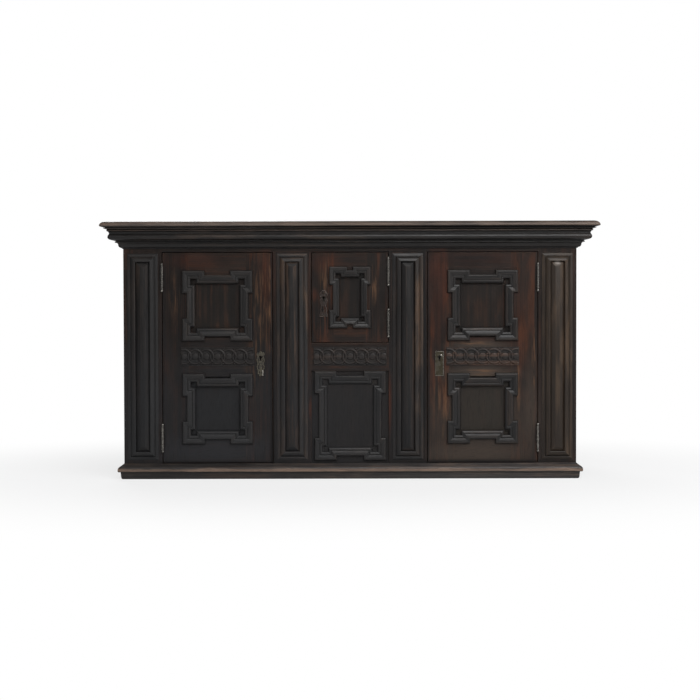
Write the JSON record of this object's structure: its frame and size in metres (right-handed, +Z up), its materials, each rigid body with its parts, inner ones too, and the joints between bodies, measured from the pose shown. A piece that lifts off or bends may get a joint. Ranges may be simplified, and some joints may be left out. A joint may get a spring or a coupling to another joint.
{
  "type": "court cupboard",
  "caption": "Low oak court cupboard with tall side doors, a small upper centre door, eared mouldings, pilaster panels, stepped cornice and plinth.",
  "frame": {"origin": "centre of the bounding box at floor level", "axes": "+Z up, the doors face -Y, +X runs to the right along the front"},
  "size_m": [1.964, 0.52, 1.023],
  "materials": {
    "oak_frame": "dark stained oak, waxed, satin",
    "oak_panel": "dark stained oak, waxed, satin",
    "oak_moulding": "near black stained oak, worn brown edges",
    "oak_board": "plain unpolished oak",
    "hinge_iron": "worn forged iron",
    "plate_iron": "worn forged iron",
    "lock_iron": "dark forged iron"
  },
  "bodies": {
    "carcass": {"plinth": "oak_moulding", "cornice_bed": "oak_moulding", "cornice_crown": "oak_moulding", "cornice_nosing": "oak_moulding", "centre_fixed_moulding": "oak_moulding", "left_outer_post": "oak_frame", "left_inner_post": "oak_frame", "right_inner_post": "oak_frame", "right_outer_post": "oak_frame", "rear_posts": "oak_frame", "frieze_rail": "oak_frame", "bottom_rail": "oak_frame", "centre_carved_rail": "oak_frame", "side_rails": "oak_frame", "rear_rails": "oak_frame", "centre_fixed_panel": "oak_panel", "side_panels": "oak_panel", "back_boards": "oak_board", "floor_boards": "oak_board", "middle_shelf": "oak_board", "bearers": "oak_board", "partitions": "oak_board", "top_boards": "oak_board", "left_outer_pilaster_frame": "oak_moulding", "left_inner_pilaster_frame": "oak_moulding", "right_outer_pilaster_frame": "oak_moulding", "right_inner_pilaster_frame": "oak_moulding", "left_outer_pilaster_panel": "oak_panel", "left_inner_pilaster_panel": "oak_panel", "right_outer_pilaster_panel": "oak_panel", "right_inner_pilaster_panel": "oak_panel", "left_post_hinges": "hinge_iron", "right_post_hinges": "hinge_iron", "centre_post_hinges": "hinge_iron"},
    "left_door": {"left_door_stiles": "oak_frame", "left_door_rails": "oak_frame", "left_door_carved_rail": "oak_frame", "left_door_panels": "oak_panel", "left_door_mouldings": "oak_moulding", "left_door_hinges": "hinge_iron", "left_door_escutcheon": "plate_iron", "left_door_lock": "lock_iron"},
    "right_door": {"right_door_stiles": "oak_frame", "right_door_rails": "oak_frame", "right_door_carved_rail": "oak_frame", "right_door_panels": "oak_panel", "right_door_mouldings": "oak_moulding", "right_door_hinges": "hinge_iron", "right_door_escutcheon": "plate_iron", "right_door_lock": "lock_iron"},
    "centre_door": {"centre_door_stiles": "oak_frame", "centre_door_rails": "oak_frame", "centre_door_panel": "oak_panel", "centre_door_moulding": "oak_moulding", "centre_door_hinges": "hinge_iron", "centre_door_escutcheon": "plate_iron", "centre_door_lock": "lock_iron"},
    "left_bolt": {"left_door_bolt": "lock_iron"},
    "centre_bolt": {"centre_door_bolt": "lock_iron"},
    "right_bolt": {"right_door_bolt": "lock_iron"}
  },
  "joints": [
    {"name": "left_door_hinge", "type": "hinge", "parent": "carcass", "child": "left_door", "pos_m": [-0.7478, -0.186, 0.483], "axis": [0, 0, -1], "range_deg": [0, 110]},
    {"name": "centre_door_hinge", "type": "hinge", "parent": "carcass", "child": "centre_door", "pos_m": [0.1528, -0.186, 0.723], "axis": [0, 0, 1], "range_deg": [0, 110]},
    {"name": "right_door_hinge", "type": "hinge", "parent": "carcass", "child": "right_door", "pos_m": [0.7478, -0.186, 0.483], "axis": [0, 0, 1], "range_deg": [0, 110]},
    {"name": "left_bolt_slide", "type": "slide", "parent": "left_door", "child": "left_bolt", "axis": [1, 0, 0], "range_m": [0, 0.012]},
    {"name": "centre_bolt_slide", "type": "slide", "parent": "centre_door", "child": "centre_bolt", "axis": [-1, 0, 0], "range_m": [0, 0.012]},
    {"name": "right_bolt_slide", "type": "slide", "parent": "right_door", "child": "right_bolt", "axis": [-1, 0, 0], "range_m": [0, 0.012]}
  ]
}
